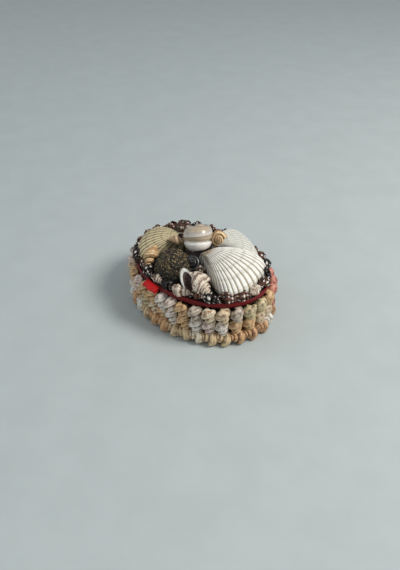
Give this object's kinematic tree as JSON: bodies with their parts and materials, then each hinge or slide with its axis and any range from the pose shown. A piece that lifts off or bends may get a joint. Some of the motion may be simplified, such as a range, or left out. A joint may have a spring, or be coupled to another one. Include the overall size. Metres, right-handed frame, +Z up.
{
  "type": "shell covered trinket box",
  "caption": "Small oval lidded trinket box covered in seashells, with a red ribbon edge and pull tab on the lift-off lid.",
  "frame": {"origin": "on the surface the box stands on, under the middle of the box", "axes": "+X along the oval, +Z up, -Y towards the side with the ribbon pull tab"},
  "size_m": [0.1038, 0.08, 0.0518],
  "materials": {
    "dark_card": "matt painted card",
    "red_ribbon": "satin",
    "tan_shell": "worn shell, slightly glossy",
    "white_shell": "matt ribbed shell",
    "cream_shell": "matt ribbed shell",
    "grey_shell": "matt ribbed shell",
    "limpet_shell": "rough and pitted",
    "moon_shell": "polished shell",
    "striped_shell": "slightly glossy shell",
    "black_shell": "glossy shell",
    "dark_shell": "slightly glossy shell"
  },
  "bodies": {
    "root": {"black_nerite": "black_shell", "cockle_valve_cream": "cream_shell", "cockle_valve_grey": "grey_shell", "cockle_valve_white": "white_shell", "dark_turban": "dark_shell", "lid_board": "dark_card", "lid_ribbon": "red_ribbon", "limpet": "limpet_shell", "moon_snail": "moon_shell", "mottled_whelk": "dark_shell", "patterned_whelk": "striped_shell", "pull_tab": "red_ribbon", "rim_shells_1": "dark_shell", "rim_shells_2": "dark_shell", "rim_shells_3": "dark_shell", "rim_shells_4": "dark_shell", "rim_shells_5": "dark_shell", "striped_whelk": "striped_shell", "tan_periwinkle": "tan_shell", "tan_spire_shell": "tan_shell", "tub": "dark_card", "wall_shells_01": "tan_shell", "wall_shells_02": "tan_shell", "wall_shells_03": "tan_shell", "wall_shells_04": "tan_shell", "wall_shells_05": "tan_shell", "wall_shells_06": "tan_shell", "wall_shells_07": "tan_shell", "wall_shells_08": "tan_shell", "wall_shells_09": "tan_shell", "wall_shells_10": "tan_shell", "wall_shells_11": "tan_shell", "wall_shells_12": "tan_shell", "wall_shells_13": "tan_shell", "wall_shells_14": "tan_shell", "wall_shells_15": "tan_shell", "wall_shells_16": "tan_shell", "wall_shells_17": "tan_shell", "wall_shells_18": "tan_shell", "wall_shells_19": "tan_shell", "wall_shells_20": "tan_shell", "wall_shells_21": "tan_shell", "wall_shells_22": "tan_shell", "wall_shells_23": "tan_shell", "wall_shells_24": "tan_shell", "wall_shells_25": "tan_shell", "wall_shells_26": "tan_shell", "wall_shells_27": "tan_shell", "wall_shells_28": "tan_shell", "wall_shells_29": "tan_shell", "wall_shells_30": "tan_shell", "wall_shells_31": "tan_shell", "wall_shells_32": "tan_shell", "wall_shells_33": "tan_shell", "wall_shells_34": "tan_shell"}
  },
  "joints": []
}
